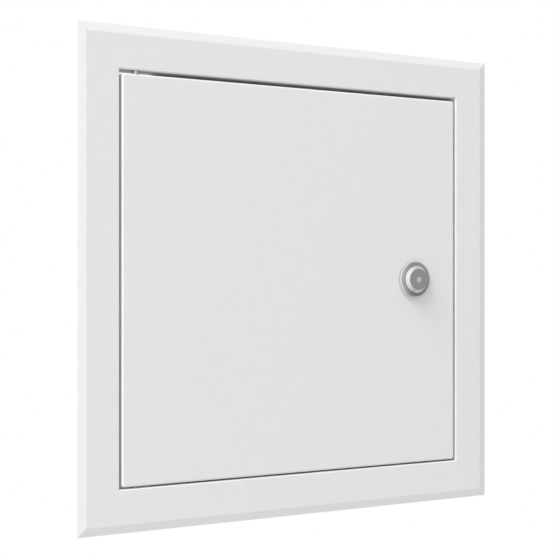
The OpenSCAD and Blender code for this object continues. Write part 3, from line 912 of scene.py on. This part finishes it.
class PANEL_OT_set_stage(Operator):
    """Sets the floor, the soft studio light and the camera"""

    bl_idname = "panel.set_stage"
    bl_label = "Set stage"

    def execute(self, context):
        settings = context.scene.panel_stage
        scene = context.scene
        scene.view_settings.view_transform = "Standard"
        self.lay_floor(scene, settings)
        self.light_world(scene, settings)
        self.hang_key(scene, settings)
        self.place_camera(scene, settings)
        return {"FINISHED"}

    def lay_floor(self, scene, settings):
        """A round pale floor well below the panel, which fades out towards its rim."""
        level = CAD_BOX[0].z - settings.floor_drop
        radius = settings.floor_radius
        turns = [math.tau * k / FLOOR_SIDES for k in range(FLOOR_SIDES)]
        rim = [(radius * math.cos(turn), radius * math.sin(turn), level) for turn in turns]
        mesh = bpy.data.meshes.new("floor")
        mesh.from_pydata(rim, [], [tuple(range(FLOOR_SIDES))])
        floor = bpy.data.objects.new("floor", mesh)
        scene.collection.objects.link(floor)
        material, tree, shader, place = new_finish("pale_floor", 0.0)
        cloud = noise(tree, place, 0.5)
        grey = settings.floor_grey
        drive(
            tree, shader,
            Base_Color=tint(tree, cloud, opaque(grey, 0.98), opaque(grey)),
            Roughness=spread(tree, cloud, 0.8, 0.9))
        flat = add_node(
            tree, "ShaderNodeVectorMath", {0: place, 1: (1.0, 1.0, 0.0)}, operation="MULTIPLY")
        reach = add_node(tree, "ShaderNodeVectorMath", {0: flat.outputs[0]}, operation="LENGTH")
        fade = spread(
            tree, reach.outputs["Value"], 1.0, 0.0, start=FLOOR_FADE * radius, end=radius)
        tree.links.new(fade, shader.inputs["Alpha"])
        mesh.materials.append(material)
        floor.visible_glossy = False

    def light_world(self, scene, settings):
        """A pale studio with a dark card that the lock mirrors; it is white to look at."""
        world = bpy.data.worlds.new("studio")
        world.use_nodes = True
        tree = world.node_tree
        tree.nodes.clear()
        way = add_node(tree, "ShaderNodeTexCoord").outputs["Generated"]
        part = add_node(tree, "ShaderNodeSeparateXYZ", {"Vector": way}).outputs
        ahead = spread(
            tree, part["X"], settings.left_light, settings.right_light, start=-0.9, end=0.3)
        behind = spread(tree, part["Y"], 0.0, 1.0, start=-0.1, end=0.2)
        walls = self.blend(tree, behind, ahead, settings.rear_light)
        above = spread(tree, part["Z"], 0.0, settings.overhead_light, start=0.0, end=1.0)
        room = reckon(tree, "ADD", walls, above)
        foot_light, card_light = settings.card_light
        card = spread(tree, part["Z"], foot_light, card_light, start=-0.2, end=0.0)
        middle = (math.sin(settings.card_turn), -math.cos(settings.card_turn), 0.0)
        from_card = add_node(
            tree, "ShaderNodeMapping",
            {"Vector": way, "Location": middle,
             "Rotation": (0.0, 0.0, settings.card_turn - math.pi / 2),
             "Scale": (CARD_DEPTH, *settings.card_reach)},
            vector_type="TEXTURE")
        distance = add_node(
            tree, "ShaderNodeVectorMath", {0: from_card.outputs["Vector"]}, operation="LENGTH")
        beside = spread(tree, distance.outputs["Value"], 0.0, 1.0, start=0.85, end=1.15)
        level = self.blend(tree, beside, card, room)
        plain = (1.0, 1.0, 1.0, 1.0)
        light = add_node(tree, "ShaderNodeBackground", {"Color": plain, "Strength": level})
        white = add_node(tree, "ShaderNodeBackground", {"Color": plain, "Strength": 1.0})
        seen = add_node(tree, "ShaderNodeLightPath").outputs["Is Camera Ray"]
        both = add_node(
            tree, "ShaderNodeMixShader", {0: seen, 1: light.outputs[0], 2: white.outputs[0]})
        add_node(tree, "ShaderNodeOutputWorld", {"Surface": both.outputs[0]})
        scene.world = world

    def blend(self, tree, share, first, second):
        """A mix of two brightnesses."""
        return add_node(
            tree, "ShaderNodeMix", {"Factor": share, "A": first, "B": second}).outputs["Result"]

    def hang_key(self, scene, settings):
        """One large soft light at upper left, in front of the panel."""
        way = Vector(settings.key_way).normalized()
        lamp = bpy.data.lights.new("key", "AREA")
        lamp.energy = settings.key_power
        lamp.size = settings.key_size
        key = bpy.data.objects.new("key", lamp)
        key.location = way * settings.key_distance
        key.rotation_euler = way.to_track_quat("Z", "Y").to_euler()
        key.visible_glossy = False
        scene.collection.objects.link(key)

    def place_camera(self, scene, settings):
        """The camera at the photograph's angle."""
        lens = bpy.data.cameras.new("camera")
        lens.sensor_width = 36.0
        lens.lens = settings.lens
        lens.shift_x, lens.shift_y = settings.frame_shift
        camera = bpy.data.objects.new("camera", lens)
        camera.location = settings.camera_place
        camera.rotation_euler = (math.radians(90.0), 0.0, settings.camera_turn)
        scene.collection.objects.link(camera)
        scene.camera = camera


STEPS = (
    PANEL_OT_coat_steel,
    PANEL_OT_plate_metal,
    PANEL_OT_mould_bushes,
    PANEL_OT_lay_seals,
    PANEL_OT_wind_spring,
    PANEL_OT_cut_thread,
    PANEL_OT_weld_sheet,
    PANEL_OT_set_stage,
)


class PANEL_PT_sidebar(Panel):
    """Lists the steps that dress the access panel"""

    bl_idname = "PANEL_PT_sidebar"
    bl_label = "Access Panel"
    bl_space_type = "VIEW_3D"
    bl_region_type = "UI"
    bl_category = "Access Panel"

    def draw(self, context):
        for step in STEPS:
            self.layout.operator(step.bl_idname)


CLASSES = tuple(SETTINGS.values()) + STEPS + (PANEL_PT_sidebar,)


def register():
    for cls in CLASSES:
        bpy.utils.register_class(cls)
    for name, group in SETTINGS.items():
        setattr(bpy.types.Scene, name, PointerProperty(type=group))


def unregister():
    for name in SETTINGS:
        delattr(bpy.types.Scene, name)
    for cls in reversed(CLASSES):
        bpy.utils.unregister_class(cls)


def main():
    """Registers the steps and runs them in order."""
    register()
    bpy.ops.panel.coat_steel()
    bpy.ops.panel.plate_metal()
    bpy.ops.panel.mould_bushes()
    bpy.ops.panel.lay_seals()
    bpy.ops.panel.wind_spring()
    bpy.ops.panel.cut_thread()
    bpy.ops.panel.weld_sheet()
    bpy.ops.panel.set_stage()


if __name__ == "__main__":
    main()
